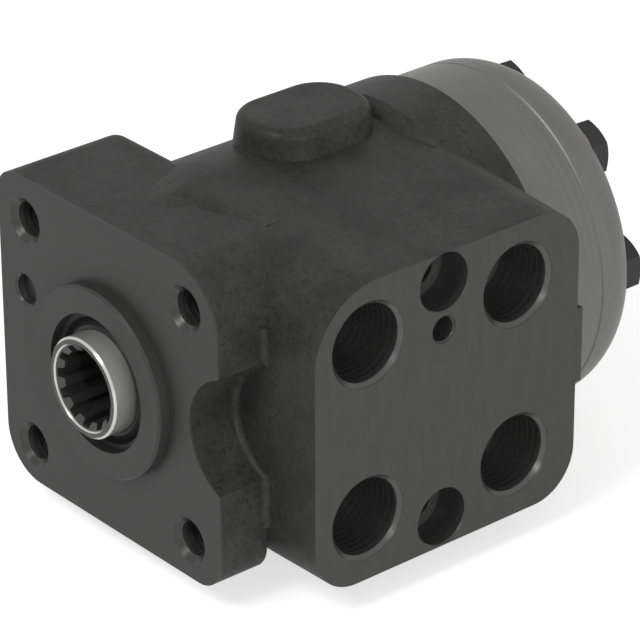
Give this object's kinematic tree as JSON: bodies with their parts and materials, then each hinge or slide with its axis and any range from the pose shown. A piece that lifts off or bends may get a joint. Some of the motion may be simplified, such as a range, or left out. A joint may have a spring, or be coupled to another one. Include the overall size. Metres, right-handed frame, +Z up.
{
  "type": "orbital steering unit",
  "caption": "Orbital hydraulic steering unit: cast housing with column flange and port face, splined spool end and a round rotor gear set behind.",
  "frame": {"origin": "centre of the pilot ring's foot, where the spool axis meets the mounting face", "axes": "+Y along the spool axis from the mounting face to the end cover, +X out of the port face, +Z up"},
  "size_m": [0.1022, 0.1379, 0.093],
  "materials": {
    "housing_paint": "matt dark grey paint, machined faces smoother",
    "turned_steel": "turned, streaked",
    "ground_steel": "ground, bright",
    "steel": "satin",
    "spring_steel": "blued",
    "black_steel": "black oxide",
    "plug_steel": "painted over",
    "brass": "satin",
    "copper": "satin copper",
    "rubber": "matt black"
  },
  "bodies": {
    "housing_body": {"housing": "housing_paint", "leak_plug": "plug_steel", "dust_seal": "rubber", "shaft_seal": "rubber", "bearing_outer_race": "steel", "housing_o_ring": "rubber", "distributor_plate": "turned_steel", "ring_front_o_ring": "rubber", "gear_ring": "turned_steel", "ring_rear_o_ring": "rubber", "end_cover": "turned_steel", "cover_screws": "black_steel", "special_screw": "black_steel", "screw_washers": "copper", "check_bush": "steel", "roll_pin": "spring_steel"},
    "sleeve": {"control_sleeve": "ground_steel", "cross_pin": "ground_steel", "curved_springs": "spring_steel", "flat_springs": "spring_steel", "spring_ring": "spring_steel", "bearing_inner_race": "steel"},
    "spool": {"control_spool": "ground_steel"},
    "bearing_cage": {"needle_cage": "brass", "bearing_needles": "steel"},
    "orbit": {"cardan_spacer": "steel"},
    "rotor": {"gear_rotor": "ground_steel"},
    "cardan": {"cardan_shaft": "steel"},
    "check_valve_ball": {"check_ball": "ground_steel"},
    "stop_ball": {"recirculation_ball": "ground_steel"}
  },
  "joints": [
    {"name": "sleeve_spin", "type": "hinge", "parent": "housing_body", "child": "sleeve", "pos_m": [0, 0.046, 0], "axis": [0, 1, 0], "continuous": true},
    {"name": "spool_twist", "type": "hinge", "parent": "sleeve", "child": "spool", "pos_m": [0, 0.046, 0], "axis": [0, 1, 0], "range_deg": [-8, 8], "stiffness_Nm_per_rad": 10, "deforming": ["curved_springs", "flat_springs"]},
    {"name": "bearing_cage_spin", "type": "hinge", "parent": "housing_body", "child": "bearing_cage", "pos_m": [0, 0.0103, 0], "axis": [0, 1, 0], "continuous": true},
    {"name": "rotor_orbit", "type": "hinge", "parent": "housing_body", "child": "orbit", "pos_m": [0, 0.109, 0], "axis": [0, 1, 0], "continuous": true},
    {"name": "rotor_spin", "type": "hinge", "parent": "orbit", "child": "rotor", "pos_m": [0.0041, 0.109, 0], "axis": [0, 1, 0], "continuous": true},
    {"name": "cardan_spin", "type": "hinge", "parent": "orbit", "child": "cardan", "pos_m": [0, 0.046, 0], "axis": [0.0661, 0.9978, 0], "continuous": true},
    {"name": "check_ball_lift", "type": "slide", "parent": "housing_body", "child": "check_valve_ball", "axis": [0, -1, 0], "range_m": [0, 0.0016]},
    {"name": "stop_ball_lift", "type": "slide", "parent": "housing_body", "child": "stop_ball", "axis": [0, -1, 0], "range_m": [0, 0.002]}
  ],
  "couplings": [
    {"joint": "bearing_cage_spin", "follows": "sleeve_spin", "ratio": 0.5},
    {"joint": "rotor_orbit", "follows": "sleeve_spin", "ratio": -6},
    {"joint": "rotor_spin", "follows": "sleeve_spin", "ratio": 7},
    {"joint": "cardan_spin", "follows": "sleeve_spin", "ratio": 7}
  ]
}
